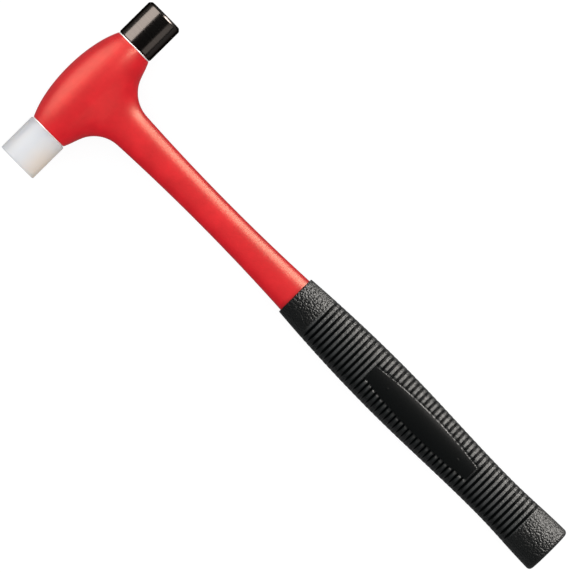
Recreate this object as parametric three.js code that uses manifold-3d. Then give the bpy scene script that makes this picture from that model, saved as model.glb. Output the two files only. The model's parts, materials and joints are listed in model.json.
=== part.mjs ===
// Combination hammer
// A red moulded head and handle over a steel core and rod. A polished steel face and a nylon
// face screw into the two ends of the core, and a ribbed vinyl grip covers the tang.
// Millimetres, +Z up. The hammer lies on its side on a table: +X runs from the head to the
// butt, and +Y points out of the steel face. Every piece is drawn about the point where the
// line through both faces, the face axis, crosses the handle's centre line.

import * as THREE from 'three';
import { mergeVertices } from 'three/addons/utils/BufferGeometryUtils.js';
import Module from 'manifold-3d';

const wasm = await Module();
wasm.setup();

// Head: a barrel about the face axis, with an elliptical outline and a flat rim at each end
const HEAD_LENGTH = 57.6;
const HEAD_MIDDLE_DIAMETER = 31.4;
const HEAD_RIM_DIAMETER = 20.4;

// Shaft: an oval that is narrowest at its waist, measured from the face axis
const NECK_RADIUS = 17;
const SHAFT_LENGTH = 139.9;
const SHAFT_WAIST_AT = 85;
const SHAFT_WAIST_WIDTH = 16.9;
const SHAFT_WAIST_THICKNESS = 12.2;
const SHAFT_MOUTH_WIDTH = 19.7;
const SHAFT_MOUTH_THICKNESS = 13.4;

// Grip: a sleeve over the tang, whose wall swells in the palm and flares at the butt
const GRIP_LENGTH = 173.9;
const GRIP_END_WALL = 6;
const MOUTH_WALL = 0.85;
const SWELL_WALL = 3.35;
const WAIST_WALL = 1.65;
const BUTT_WALL = 2.85;
const SWELL_FROM_MOUTH = 62.7;
const WAIST_FROM_BUTT = 38;
const MOUTH_CHAMFER = 0.3;
const BUTT_RADIUS = 2;

// Ribs: the lands between grooves that run round the grip
const RIB_PITCH = 2.92;
const GROOVE_WIDTH = 1.2;
const GROOVE_DEPTH = 0.4;
const PLAIN_AT_MOUTH = 16.9;
const PLAIN_AT_BUTT = 19.7;

// Panel: a smooth plateau on both sides of the grip, with a moat between it and the ribs
const PANEL_FROM_MOUTH = 86.4;
const PANEL_LENGTH = 68.5;
const PANEL_WIDTH = 12.8;
const PANEL_END_WIDTH = 7.8;
const PANEL_STEP = 0.15;
const MOAT_WIDTH = 0.8;
const MOAT_DEPTH = 0.6;

// Steel inside: the cross bar in the head, the rod down the handle and the pin that locks them
const CORE_DIAMETER = 15;
const ROD_DIAMETER = 8;
const ROD_COVER = 40;
const ANCHOR_GROOVES = 3;
const ANCHOR_PITCH = 9;
const ANCHOR_WIDTH = 3;
const ANCHOR_DEPTH = 0.7;
const PIN_DIAMETER = 3;
const PIN_WALL = 0.7;
const PIN_SLOT_ANGLE = 0.6;

// Striking faces, their washers and the M10 x 1.5 thread that holds them
const STEEL_FACE_DIAMETER = 20.5;
const STEEL_FACE_LENGTH = 21.4;
const STEEL_FACE_CHAMFER = 1.3;
const STEEL_BACK_CHAMFER = 0.5;
const NYLON_FACE_DIAMETER = 21.5;
const NYLON_FACE_LENGTH = 20.9;
const NYLON_FACE_CHAMFER = 0.4;
const WASHER_DIAMETER = 19.4;
const WASHER_THICKNESS = 0.6;
const THREAD_DIAMETER = 10;
const THREAD_PITCH = 1.5;
const THREAD_DEPTH = 0.9;
const THREAD_CREST = 0.2;
const STUD_REACH = 12;
const STUD_CHAMFER = 1;
const TAP_RUNOUT = 3;
const SPARE_TURNS = 4;
const MOULDED_STUD_LENGTH = 11;
const MOULDED_GROOVES = 2;
const MOULDED_GROOVE_WIDTH = 2;
const MOULDED_GROOVE_DEPTH = 1;

// Clearance round each piece that sits inside another
const FIT_GAP = 0.3;

// Fineness of the curved surfaces
const BODY_SIDES = 36;
const GRIP_SIDES = 16;
const TURNED_SIDES = 24;
const THREAD_SIDES = 12;
const HEAD_RINGS = 18;
const NECK_RINGS = 10;
const SHAFT_RINGS = 9;
const CORNER_RINGS = 4;
const PANEL_RINGS = 14;
const ARC_STEPS = 12;
const MERGE_DISTANCE = 1e-4;
const ANGLE_TOLERANCE = 1e-9;

// Sizes that follow from the ones above
const HEAD_RADIUS = HEAD_MIDDLE_DIAMETER / 2;
const RIM_AT = HEAD_LENGTH / 2;
const BARREL_HALF = RIM_AT / Math.sqrt(1 - (HEAD_RIM_DIAMETER / HEAD_MIDDLE_DIAMETER) ** 2);
const BUTT_AT = SHAFT_LENGTH + GRIP_LENGTH;
const TANG_END = BUTT_AT - GRIP_END_WALL;
const CORE_RADIUS = CORE_DIAMETER / 2;
const ROD_RADIUS = ROD_DIAMETER / 2;
const ROD_END = TANG_END - ROD_COVER;
const PIN_RADIUS = PIN_DIAMETER / 2;
const THREAD_RADIUS = THREAD_DIAMETER / 2;
const MOUTH_HALF = new THREE.Vector2(SHAFT_MOUTH_WIDTH / 2, SHAFT_MOUTH_THICKNESS / 2);
const HUGE = 2 * BUTT_AT;

// Finishes
const RED_PLASTIC = new THREE.MeshStandardMaterial({ color: 0xdc2830, roughness: 0.45, metalness: 0 });
const BLACK_STEEL = new THREE.MeshStandardMaterial({ color: 0x1b1a1a, roughness: 0.2, metalness: 1 });
const BRIGHT_STEEL = new THREE.MeshStandardMaterial({ color: 0xc4c6c8, roughness: 0.3, metalness: 1 });
const WHITE_NYLON = new THREE.MeshStandardMaterial({ color: 0xe6e6e4, roughness: 0.4, metalness: 0 });
const BLACK_VINYL = new THREE.MeshStandardMaterial({ color: 0x1a1a1a, roughness: 0.7, metalness: 0 });

// A closed geometry as a solid that can be joined and cut
function solid(geometry) {
  geometry.deleteAttribute('normal');
  geometry.deleteAttribute('uv');
  const merged = mergeVertices(geometry, MERGE_DISTANCE);
  const triangles = [];
  for (let i = 0; i < merged.index.count; i += 3) {
    const [a, b, c] = merged.index.array.slice(i, i + 3);
    if (a !== b && b !== c && c !== a) triangles.push(a, b, c);
  }
  return new wasm.Manifold(
    new wasm.Mesh({
      numProp: 3,
      vertProperties: merged.attributes.position.array,
      triVerts: new Uint32Array(triangles),
    }),
  );
}

// A named mesh of a solid
function piece(name, made, material) {
  const { vertProperties, triVerts } = made.getMesh();
  const geometry = new THREE.BufferGeometry();
  geometry.setAttribute('position', new THREE.BufferAttribute(vertProperties, 3));
  geometry.setIndex(new THREE.BufferAttribute(triVerts, 1));
  geometry.computeVertexNormals();
  const mesh = new THREE.Mesh(geometry, material);
  mesh.name = name;
  return mesh;
}

// An oval ring across the handle, from +Y towards +Z; half holds its half width and thickness
function ovalRing(x, half, sides) {
  return Array.from({ length: sides }, (_, i) => {
    const angle = (2 * Math.PI * i) / sides;
    return new THREE.Vector3(x, half.x * Math.cos(angle), half.y * Math.sin(angle));
  });
}

// A closed skin over rings of equal count along +X, with a fan to a point at each end
function loft(rings, startX = rings[0][0].x, endX = rings.at(-1)[0].x) {
  const sides = rings[0].length;
  const points = [...rings.flat(), new THREE.Vector3(startX, 0, 0), new THREE.Vector3(endX, 0, 0)];
  const startPoint = points.length - 2;
  const endPoint = points.length - 1;
  const lastRing = (rings.length - 1) * sides;
  const index = [];
  for (let side = 0; side < sides; side += 1) {
    const next = (side + 1) % sides;
    for (let ring = 0; ring < lastRing; ring += sides) {
      index.push(ring + side, ring + next, ring + sides + side);
      index.push(ring + next, ring + sides + next, ring + sides + side);
    }
    index.push(startPoint, next, side);
    index.push(endPoint, lastRing + side, lastRing + next);
  }
  return new THREE.BufferGeometry().setFromPoints(points).setIndex(index);
}

// A solid turned about the face axis from (radius, y) pairs that run up +Y
function turned(profile) {
  return solid(new THREE.LatheGeometry(profile.map(([r, y]) => new THREE.Vector2(r, y)), TURNED_SIDES));
}

// A solid cylinder about the face axis, half of it on each side of the handle
function cylinder(radius, length) {
  return solid(new THREE.CylinderGeometry(radius, radius, length, TURNED_SIDES));
}

// Half the moulding's width or thickness along the handle: the head's ellipse, then a round
// fillet that touches the head and the shaft, then the shaft's parabola and the straight tang
function mouldingOutline(headHalf, waist, mouth) {
  const share = (x) => (Math.min(x, SHAFT_LENGTH) - SHAFT_WAIST_AT) / (SHAFT_LENGTH - SHAFT_WAIST_AT);
  const shaft = (x) => (waist + (mouth - waist) * share(x) ** 2) / 2;
  const slope = (x) => ((mouth - waist) * share(x)) / (SHAFT_LENGTH - SHAFT_WAIST_AT);
  const onHead = (angle) => new THREE.Vector2(HEAD_RADIUS * Math.cos(angle), headHalf * Math.sin(angle));
  const filletCentre = (angle) => {
    const normal = new THREE.Vector2(Math.cos(angle) / HEAD_RADIUS, Math.sin(angle) / headHalf).normalize();
    return onHead(angle).addScaledVector(normal, NECK_RADIUS);
  };
  const aboveShaft = (p) => (p.y - shaft(p.x)) / Math.hypot(1, slope(p.x));

  let low = 0;
  let high = Math.PI / 2;
  while (high - low > ANGLE_TOLERANCE) {
    const angle = (low + high) / 2;
    if (aboveShaft(filletCentre(angle)) < NECK_RADIUS) low = angle;
    else high = angle;
  }
  const centre = filletCentre(low);
  const start = onHead(low).x;
  const end = centre.x + (NECK_RADIUS * slope(centre.x)) / Math.hypot(1, slope(centre.x));
  const half = (x) => {
    if (x < start) return headHalf * Math.sqrt(1 - (x / HEAD_RADIUS) ** 2);
    if (x < end) return centre.y - Math.sqrt(NECK_RADIUS ** 2 - (x - centre.x) ** 2);
    return shaft(x);
  };
  return { half, start, end };
}

// Red moulding: head, neck, shaft and tang in one, hollow for the core and the rod
function bodyJacket() {
  const width = mouldingOutline(BARREL_HALF, SHAFT_WAIST_WIDTH, SHAFT_MOUTH_WIDTH);
  const thickness = mouldingOutline(HEAD_RADIUS, SHAFT_WAIST_THICKNESS, SHAFT_MOUTH_THICKNESS);
  const neckStart = Math.min(width.start, thickness.start);
  const neckEnd = Math.max(width.end, thickness.end);
  const headAngle = Math.acos(-neckStart / HEAD_RADIUS);

  const stations = [];
  for (let i = 1; i <= HEAD_RINGS; i += 1) {
    stations.push(-HEAD_RADIUS * Math.cos((headAngle * i) / HEAD_RINGS));
  }
  for (let i = 1; i <= NECK_RINGS; i += 1) {
    const share = 1 - Math.cos((Math.PI * i) / (2 * NECK_RINGS));
    stations.push(THREE.MathUtils.lerp(neckStart, neckEnd, share));
  }
  for (let i = 1; i <= SHAFT_RINGS; i += 1) {
    stations.push(THREE.MathUtils.lerp(neckEnd, SHAFT_LENGTH, i / SHAFT_RINGS));
  }
  stations.push(TANG_END);

  const rings = stations.map((x) => {
    const half = new THREE.Vector2(width.half(x), thickness.half(x));
    return ovalRing(x, half, BODY_SIDES);
  });
  const skin = solid(loft(rings, -HEAD_RADIUS));
  const betweenRims = solid(new THREE.BoxGeometry(HUGE, HEAD_LENGTH, HUGE));
  const coreBore = cylinder(CORE_RADIUS + FIT_GAP, HUGE);
  const rodBoreLength = ROD_END + FIT_GAP;
  const rodBore = cylinder(ROD_RADIUS + FIT_GAP, rodBoreLength).rotate(0, 0, -90);
  return skin
    .intersect(betweenRims)
    .subtract(coreBore)
    .subtract(rodBore.translate(rodBoreLength / 2, 0, 0));
}

// Steel cross bar, flush with both rims, with a tapped hole in each end
function headCore() {
  const holeRadius = THREAD_RADIUS + FIT_GAP;
  const holeBottom = RIM_AT - STUD_REACH - TAP_RUNOUT;
  const tapped = turned([
    [0, holeBottom],
    [holeRadius, holeBottom],
    [holeRadius, HEAD_LENGTH],
    [0, HEAD_LENGTH],
  ]);
  return cylinder(CORE_RADIUS, HEAD_LENGTH)
    .subtract(cylinder(ROD_RADIUS + FIT_GAP, HUGE).rotate(0, 0, 90))
    .subtract(cylinder(PIN_RADIUS + FIT_GAP, HUGE).rotate(90, 0, 0))
    .subtract(tapped)
    .subtract(tapped.rotate(180, 0, 0));
}

// Steel rod from inside the core to deep in the tang, with grooves that key it into the plastic
function handleRod() {
  const start = FIT_GAP - Math.sqrt(CORE_RADIUS ** 2 - ROD_RADIUS ** 2);
  const neckRadius = ROD_RADIUS - ANCHOR_DEPTH;
  const profile = [[0, start], [ROD_RADIUS, start]];
  for (let i = ANCHOR_GROOVES; i > 0; i -= 1) {
    const from = ROD_END - i * ANCHOR_PITCH;
    const to = from + ANCHOR_WIDTH;
    profile.push([ROD_RADIUS, from], [neckRadius, from], [neckRadius, to], [ROD_RADIUS, to]);
  }
  profile.push([ROD_RADIUS, ROD_END], [0, ROD_END]);
  const pinHole = cylinder(PIN_RADIUS + FIT_GAP, HUGE).rotate(90, 0, 0);
  return turned(profile).rotate(0, 0, -90).subtract(pinHole);
}

// Slotted spring pin, driven down through the core and the rod
function corePin() {
  const innerRadius = PIN_RADIUS - PIN_WALL;
  const halfLength = Math.sqrt(CORE_RADIUS ** 2 - PIN_RADIUS ** 2) - FIT_GAP;
  const section = new THREE.Shape();
  section.absarc(0, 0, PIN_RADIUS, PIN_SLOT_ANGLE, -PIN_SLOT_ANGLE, false);
  section.absarc(0, 0, innerRadius, -PIN_SLOT_ANGLE, PIN_SLOT_ANGLE, true);
  const rolled = new THREE.ExtrudeGeometry(section, {
    depth: 2 * halfLength,
    bevelEnabled: false,
    curveSegments: ARC_STEPS,
  });
  return solid(rolled.translate(0, 0, -halfLength));
}

// A right-hand screw thread up +Y, longer than asked at both ends: its rows climb with the helix
function screwThread(from, to) {
  const rootRadius = THREAD_RADIUS - THREAD_DEPTH;
  const flank = (1 - THREAD_CREST) / 2;
  const row = [
    { at: 0, radius: rootRadius },
    { at: flank, radius: THREAD_RADIUS },
    { at: 1 - flank, radius: THREAD_RADIUS },
  ];
  const turns = Math.ceil((to - from) / THREAD_PITCH) + SPARE_TURNS;
  const rows = turns * row.length;
  const vertex = (i, side) => i * THREAD_SIDES + side;
  const wrapped = (i, side) => (side < THREAD_SIDES ? vertex(i, side) : vertex(i + row.length, 0));

  const points = [];
  for (let i = 0; i <= rows; i += 1) {
    const { at, radius } = row[i % row.length];
    for (let side = 0; side < THREAD_SIDES; side += 1) {
      const turn = side / THREAD_SIDES;
      const angle = 2 * Math.PI * turn;
      const climb = Math.floor(i / row.length) + at + turn - SPARE_TURNS / 2;
      const y = from + climb * THREAD_PITCH;
      points.push(new THREE.Vector3(radius * Math.sin(angle), y, radius * Math.cos(angle)));
    }
  }
  const index = [];
  for (let i = 0; i < rows; i += 1) {
    for (let side = 0; side < THREAD_SIDES; side += 1) {
      const last = side === THREAD_SIDES - 1;
      if (last && i + 1 + row.length > rows) continue;
      const [a, b] = [vertex(i, side), wrapped(i, side + 1)];
      const [c, d] = [vertex(i + 1, side), wrapped(i + 1, side + 1)];
      index.push(a, b, c, b, d, c);
    }
  }
  const bottom = [];
  const top = [];
  for (let side = 0; side < THREAD_SIDES; side += 1) {
    bottom.push(vertex(0, side));
    top.push(vertex(rows, side));
  }
  for (let i = row.length; i > 0; i -= 1) bottom.push(vertex(i, 0));
  for (let i = 1; i <= row.length; i += 1) top.push(vertex(rows - i, THREAD_SIDES - 1));
  const bottomPoint = points.push(new THREE.Vector3(0, points[0].y, 0)) - 1;
  const topPoint = points.push(new THREE.Vector3(0, points[vertex(rows, 0)].y, 0)) - 1;
  bottom.forEach((v, i) => index.push(bottomPoint, bottom[(i + 1) % bottom.length], v));
  top.forEach((v, i) => index.push(topPoint, v, top[(i + 1) % top.length]));
  return solid(new THREE.BufferGeometry().setFromPoints(points).setIndex(index));
}

// The threaded end of a stud, which points down -Y into the core and joins a face above shoulder
function studThread(shoulder) {
  const end = -STUD_REACH;
  const blank = turned([
    [0, end],
    [THREAD_RADIUS - STUD_CHAMFER, end],
    [THREAD_RADIUS, end + STUD_CHAMFER],
    [THREAD_RADIUS, shoulder],
    [0, shoulder],
  ]);
  return screwThread(end, shoulder).intersect(blank);
}

// The pieces at one end of the head are drawn from its rim: y is 0 there and grows outwards

// Steel striking face, turned in one piece with its stud
function steelFace() {
  const back = WASHER_THICKNESS;
  const front = back + STEEL_FACE_LENGTH;
  const radius = STEEL_FACE_DIAMETER / 2;
  const block = turned([
    [0, back],
    [radius - STEEL_BACK_CHAMFER, back],
    [radius, back + STEEL_BACK_CHAMFER],
    [radius, front - STEEL_FACE_CHAMFER],
    [radius - STEEL_FACE_CHAMFER, front],
    [0, front],
  ]);
  return block.add(studThread(back + STEEL_BACK_CHAMFER));
}

// Nylon striking face, moulded round the head of its stud
function nylonFace() {
  const back = WASHER_THICKNESS;
  const front = back + NYLON_FACE_LENGTH;
  const radius = NYLON_FACE_DIAMETER / 2;
  const socketRadius = THREAD_RADIUS + FIT_GAP;
  const socketEnd = back + MOULDED_STUD_LENGTH + FIT_GAP;
  return turned([
    [0, socketEnd],
    [socketRadius, socketEnd],
    [socketRadius, back],
    [radius - NYLON_FACE_CHAMFER, back],
    [radius, back + NYLON_FACE_CHAMFER],
    [radius, front - NYLON_FACE_CHAMFER],
    [radius - NYLON_FACE_CHAMFER, front],
    [0, front],
  ]);
}

// Steel stud of the nylon face: threaded where it enters the core, grooved where it is moulded in
function nylonFaceStud() {
  const start = WASHER_THICKNESS;
  const end = start + MOULDED_STUD_LENGTH;
  const rootRadius = THREAD_RADIUS - THREAD_DEPTH;
  const grooveRadius = THREAD_RADIUS - MOULDED_GROOVE_DEPTH;
  const groovePitch = MOULDED_STUD_LENGTH / (MOULDED_GROOVES + 1);
  const profile = [[0, 0], [rootRadius, 0], [rootRadius, start], [THREAD_RADIUS, start]];
  for (let i = 1; i <= MOULDED_GROOVES; i += 1) {
    const from = start + i * groovePitch - MOULDED_GROOVE_WIDTH / 2;
    const to = from + MOULDED_GROOVE_WIDTH;
    profile.push([THREAD_RADIUS, from], [grooveRadius, from], [grooveRadius, to], [THREAD_RADIUS, to]);
  }
  profile.push([THREAD_RADIUS, end], [0, end]);
  return turned(profile).add(studThread(start));
}

// Steel washer between a face and the head
function washer() {
  const outer = WASHER_DIAMETER / 2;
  const inner = THREAD_RADIUS + FIT_GAP;
  return turned([
    [inner, 0],
    [outer, 0],
    [outer, WASHER_THICKNESS],
    [inner, WASHER_THICKNESS],
    [inner, 0],
  ]);
}

// Wall of the grip at a distance along it from the mouth
function gripWall(along) {
  const waistAt = GRIP_LENGTH - WAIST_FROM_BUTT;
  if (along < SWELL_FROM_MOUTH) {
    const short = 1 - along / SWELL_FROM_MOUTH;
    return SWELL_WALL - (SWELL_WALL - MOUTH_WALL) * short * short;
  }
  if (along < waistAt) {
    const share = THREE.MathUtils.smoothstep(along, SWELL_FROM_MOUTH, waistAt);
    return THREE.MathUtils.lerp(SWELL_WALL, WAIST_WALL, share);
  }
  const share = THREE.MathUtils.smoothstep(along, waistAt, GRIP_LENGTH);
  return THREE.MathUtils.lerp(WAIST_WALL, BUTT_WALL, share);
}

// A ring round the grip, sunk by a depth below its outer surface
function gripRing([along, depth]) {
  const outward = FIT_GAP + gripWall(along) - depth;
  return ovalRing(SHAFT_LENGTH + along, MOUTH_HALF.clone().addScalar(outward), GRIP_SIDES);
}

// The panel's outline, two shallow arcs between blunt ends, grown by a margin, right through the grip
function panelPrism(margin) {
  const halfLength = PANEL_LENGTH / 2 + margin;
  const halfWidth = PANEL_WIDTH / 2 + margin;
  const rise = (PANEL_WIDTH - PANEL_END_WIDTH) / 2;
  const radius = (halfLength ** 2 + rise ** 2) / (2 * rise);
  const sweep = Math.asin(halfLength / radius);
  const up = Math.PI / 2;
  const outline = new THREE.Shape();
  outline.absarc(0, halfWidth - radius, radius, up - sweep, up + sweep, false);
  outline.absarc(0, radius - halfWidth, radius, -up - sweep, -up + sweep, false);
  const prism = new THREE.ExtrudeGeometry(outline, {
    depth: HUGE,
    bevelEnabled: false,
    curveSegments: ARC_STEPS,
  });
  return solid(prism.translate(SHAFT_LENGTH + PANEL_FROM_MOUTH, 0, -HUGE / 2));
}

// The grip's outer form near the panel, sunk all over by a depth
function sunkenGrip(depth) {
  const reach = PANEL_LENGTH / 2 + 2 * MOAT_WIDTH;
  const rings = Array.from({ length: PANEL_RINGS + 1 }, (_, i) => {
    const along = PANEL_FROM_MOUTH + reach * ((2 * i) / PANEL_RINGS - 1);
    return gripRing([along, depth]);
  });
  return solid(loft(rings));
}

// Black vinyl sleeve: ribbed, with a plain band at each end, a panel on both sides and a closed butt
function grip() {
  const ribbedLength = GRIP_LENGTH - PLAIN_AT_MOUTH - PLAIN_AT_BUTT;
  const grooves = Math.floor(ribbedLength / RIB_PITCH) + 1;
  const stations = [
    [0, MOUTH_CHAMFER],
    [MOUTH_CHAMFER, 0],
    [PLAIN_AT_MOUTH / 2, 0],
  ];
  for (let i = 0; i < grooves; i += 1) {
    const along = PLAIN_AT_MOUTH + i * RIB_PITCH;
    stations.push([along - GROOVE_WIDTH / 2, 0], [along, GROOVE_DEPTH], [along + GROOVE_WIDTH / 2, 0]);
  }
  stations.push([GRIP_LENGTH - PLAIN_AT_BUTT / 2, 0]);
  for (let i = 0; i <= CORNER_RINGS; i += 1) {
    const angle = (Math.PI * i) / (2 * CORNER_RINGS);
    const along = GRIP_LENGTH - BUTT_RADIUS * (1 - Math.sin(angle));
    stations.push([along, BUTT_RADIUS * (1 - Math.cos(angle))]);
  }
  const ribbed = solid(loft(stations.map(gripRing)));

  const moat = panelPrism(MOAT_WIDTH).subtract(sunkenGrip(MOAT_DEPTH));
  const plateau = panelPrism(0).intersect(sunkenGrip(PANEL_STEP));
  const tangHalf = MOUTH_HALF.clone().addScalar(FIT_GAP);
  const bore = [0, TANG_END + FIT_GAP].map((x) => ovalRing(x, tangHalf, BODY_SIDES));
  return ribbed.subtract(moat).add(plateau).subtract(solid(loft(bore)));
}

// The pitch at which the hammer rests on the middle of its head and the edge of its butt
function restPitch() {
  const buttHalf = MOUTH_HALF.y + FIT_GAP + BUTT_WALL;
  const corner = new THREE.Vector2(BUTT_AT - BUTT_RADIUS, buttHalf - BUTT_RADIUS);
  return Math.asin((HEAD_RADIUS - BUTT_RADIUS) / corner.length()) - corner.angle();
}

const steelEnd = new THREE.Group();
steelEnd.position.y = RIM_AT;
steelEnd.add(
  piece('steel_face', steelFace(), BLACK_STEEL),
  piece('steel_face_washer', washer(), BRIGHT_STEEL),
);

const nylonEnd = new THREE.Group();
nylonEnd.position.y = -RIM_AT;
nylonEnd.rotation.x = Math.PI;
nylonEnd.add(
  piece('nylon_face', nylonFace(), WHITE_NYLON),
  piece('nylon_face_stud', nylonFaceStud(), BRIGHT_STEEL),
  piece('nylon_face_washer', washer(), BRIGHT_STEEL),
);

const pitch = restPitch();
const hammer = new THREE.Group();
hammer.rotation.y = pitch;
hammer.position.set((HEAD_RADIUS - BUTT_AT * Math.cos(pitch)) / 2, 0, HEAD_RADIUS);
hammer.add(
  piece('body_jacket', bodyJacket(), RED_PLASTIC),
  piece('head_core', headCore(), BRIGHT_STEEL),
  piece('handle_rod', handleRod(), BRIGHT_STEEL),
  piece('core_pin', corePin(), BRIGHT_STEEL),
  piece('grip', grip(), BLACK_VINYL),
  steelEnd,
  nylonEnd,
);

const part = new THREE.Group();
part.add(hammer);

export default part;
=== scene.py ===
import json
import math

import bpy
from mathutils import Matrix, Vector


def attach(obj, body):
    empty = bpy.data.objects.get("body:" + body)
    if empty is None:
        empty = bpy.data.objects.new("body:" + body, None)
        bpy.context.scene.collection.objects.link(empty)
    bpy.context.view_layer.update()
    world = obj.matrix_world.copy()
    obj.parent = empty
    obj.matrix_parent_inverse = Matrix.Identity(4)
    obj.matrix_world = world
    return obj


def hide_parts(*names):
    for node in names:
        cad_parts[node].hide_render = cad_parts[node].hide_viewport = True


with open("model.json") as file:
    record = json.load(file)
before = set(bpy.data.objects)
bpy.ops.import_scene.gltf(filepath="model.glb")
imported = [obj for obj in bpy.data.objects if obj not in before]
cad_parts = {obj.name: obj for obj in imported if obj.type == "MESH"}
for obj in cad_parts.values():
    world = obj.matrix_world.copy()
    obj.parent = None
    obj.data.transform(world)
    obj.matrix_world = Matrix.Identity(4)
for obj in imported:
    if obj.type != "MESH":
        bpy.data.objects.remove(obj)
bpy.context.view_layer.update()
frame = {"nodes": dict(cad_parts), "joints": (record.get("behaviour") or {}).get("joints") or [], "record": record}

# Head core: a steel cross bar through the head, turned from round stock and tapped M10 x 1.5 in
# both ends for the striking faces. It is drilled for the handle rod and for the pin that locks it.
MM = 0.001
RIM_AT = 28.8 * MM
CORE_RADIUS = 7.5 * MM
CORE_EDGE = 0.25 * MM
TAP_DRILL = 4.2 * MM
TAP_MOUTH = 5.3 * MM
TAP_BOTTOM = 13.8 * MM
TAP_POINT = 2.0 * MM
ROD_RADIUS = 4.0 * MM
PIN_RADIUS = 1.5 * MM
HOLE_GAP = 0.02 * MM
THREAD_RADIUS = 5.0 * MM
THREAD_DEPTH = 0.9 * MM
THREAD_PITCH = 1.5 * MM
THREAD_GAP = 0.08 * MM
THREAD_ROOT_FLAT, THREAD_CREST_FLAT = 1 / 4, 1 / 8
THREAD_TURNS = 14
STUD_REACH = 12 * MM
TURNED_STEPS = 96
THREAD_STEPS = 48
SHARP = math.radians(30)
EDGE_SEGMENTS = 3
WELD, CUT_WELD = HOLE_GAP / 4, HOLE_GAP / 10
CORE_LINES, CORE_RELIEF = 2200, 0.03 * MM
CORE_SHADES = (0.52, 0.53, 0.55), (0.72, 0.73, 0.74)
CORE_ROUGHNESS = 0.22, 0.4


def draw_line(name, points):
    """Draws a chain of edges through (radius, place along the face axis) points."""
    bpy.ops.object.select_all(action="DESELECT")
    bpy.ops.mesh.primitive_plane_add(size=MM)
    piece = bpy.context.object
    piece.name = name
    bpy.ops.object.mode_set(mode="EDIT")
    bpy.ops.mesh.merge(type="CENTER")
    bpy.ops.transform.translate(value=(points[0][0], points[0][1], 0))
    for (radius, place), (next_radius, next_place) in zip(points, points[1:]):
        step = (next_radius - radius, next_place - place, 0)
        bpy.ops.mesh.extrude_region_move(TRANSFORM_OT_translate={"value": step})
    return piece


def turn(name, points, edge=0):
    """Turns a piece about the face axis from half its section, and breaks its sharp edges."""
    piece = draw_line(name, points)
    bpy.ops.mesh.select_all(action="SELECT")
    bpy.ops.mesh.spin(steps=TURNED_STEPS, angle=math.tau, center=(0, 0, 0), axis=(0, 1, 0))
    bpy.ops.mesh.select_all(action="SELECT")
    bpy.ops.mesh.remove_doubles(threshold=WELD)
    bpy.ops.mesh.normals_make_consistent(inside=False)
    if edge:
        bpy.ops.mesh.select_mode(type="EDGE")
        bpy.ops.mesh.select_all(action="DESELECT")
        bpy.ops.mesh.edges_select_sharp(sharpness=SHARP)
        bpy.ops.mesh.bevel(offset=edge, segments=EDGE_SEGMENTS, affect="EDGES")
        bpy.ops.mesh.select_mode(type="VERT")
    bpy.ops.object.mode_set(mode="OBJECT")
    bpy.ops.object.shade_smooth_by_angle(angle=SHARP)
    return piece


def only(piece):
    """Selects one piece and nothing else."""
    bpy.ops.object.select_all(action="DESELECT")
    piece.select_set(True)
    bpy.context.view_layer.objects.active = piece


def carve(piece, tool, operation="DIFFERENCE"):
    """Cuts a piece with a tool, joins the tool to it or keeps what both fill; the tool is used up."""
    only(piece)
    boolean = piece.modifiers.new(tool.name, "BOOLEAN")
    boolean.operation = operation
    boolean.solver = "EXACT"
    boolean.object = tool
    bpy.ops.object.modifier_apply(modifier=boolean.name)
    bpy.data.objects.remove(tool)
    bpy.ops.object.mode_set(mode="EDIT")
    bpy.ops.mesh.select_all(action="SELECT")
    bpy.ops.mesh.remove_doubles(threshold=CUT_WELD)
    bpy.ops.object.mode_set(mode="OBJECT")
    bpy.ops.object.shade_smooth_by_angle(angle=SHARP)


def drill(radius, length, direction, start=(0, 0, 0)):
    """A round bar along a direction, to cut a hole with."""
    towards = Vector(direction)
    middle = Vector(start) + towards * length / 2
    bpy.ops.object.select_all(action="DESELECT")
    bpy.ops.mesh.primitive_cylinder_add(
        vertices=TURNED_STEPS,
        radius=radius,
        depth=length,
        location=middle,
        rotation=towards.to_track_quat("Z", "Y").to_euler(),
    )
    return bpy.context.object


def screw_thread(name, start, outward=0.0):
    """A right-hand thread up the face axis from a place on it, with closed ends."""
    root = THREAD_RADIUS - THREAD_DEPTH + outward
    crest = THREAD_RADIUS + outward
    foot, top = THREAD_ROOT_FLAT / 2, (1 - THREAD_CREST_FLAT) / 2
    one_turn = [(root, 0), (root, foot), (crest, top), (crest, 1 - top), (root, 1 - foot), (root, 1)]
    thread = draw_line(name, [(radius, start + share * THREAD_PITCH) for radius, share in one_turn])
    bpy.ops.object.mode_set(mode="OBJECT")
    winding = thread.modifiers.new("winding", "SCREW")
    winding.axis = "Y"
    winding.angle = math.tau
    winding.screw_offset = THREAD_PITCH
    winding.iterations = THREAD_TURNS
    winding.steps = THREAD_STEPS
    winding.render_steps = THREAD_STEPS
    winding.use_merge_vertices = True
    winding.merge_threshold = WELD
    bpy.ops.object.modifier_apply(modifier=winding.name)
    bpy.ops.object.mode_set(mode="EDIT")
    bpy.ops.mesh.select_all(action="SELECT")
    bpy.ops.mesh.remove_doubles(threshold=WELD)
    bpy.ops.mesh.fill_holes(sides=0)
    bpy.ops.mesh.select_all(action="SELECT")
    bpy.ops.mesh.normals_make_consistent(inside=False)
    bpy.ops.object.mode_set(mode="OBJECT")
    return thread


def seat(piece, end):
    """Moves a piece that is drawn outwards from a rim to the steel end, 1, or the nylon end, -1."""
    turned = Matrix.Identity(4) if end > 0 else Matrix.Rotation(math.pi, 4, "X")
    piece.matrix_world = Matrix.Translation((0, end * RIM_AT, 0)) @ turned
    only(piece)
    bpy.ops.object.transform_apply(location=True, rotation=True, scale=True)


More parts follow.
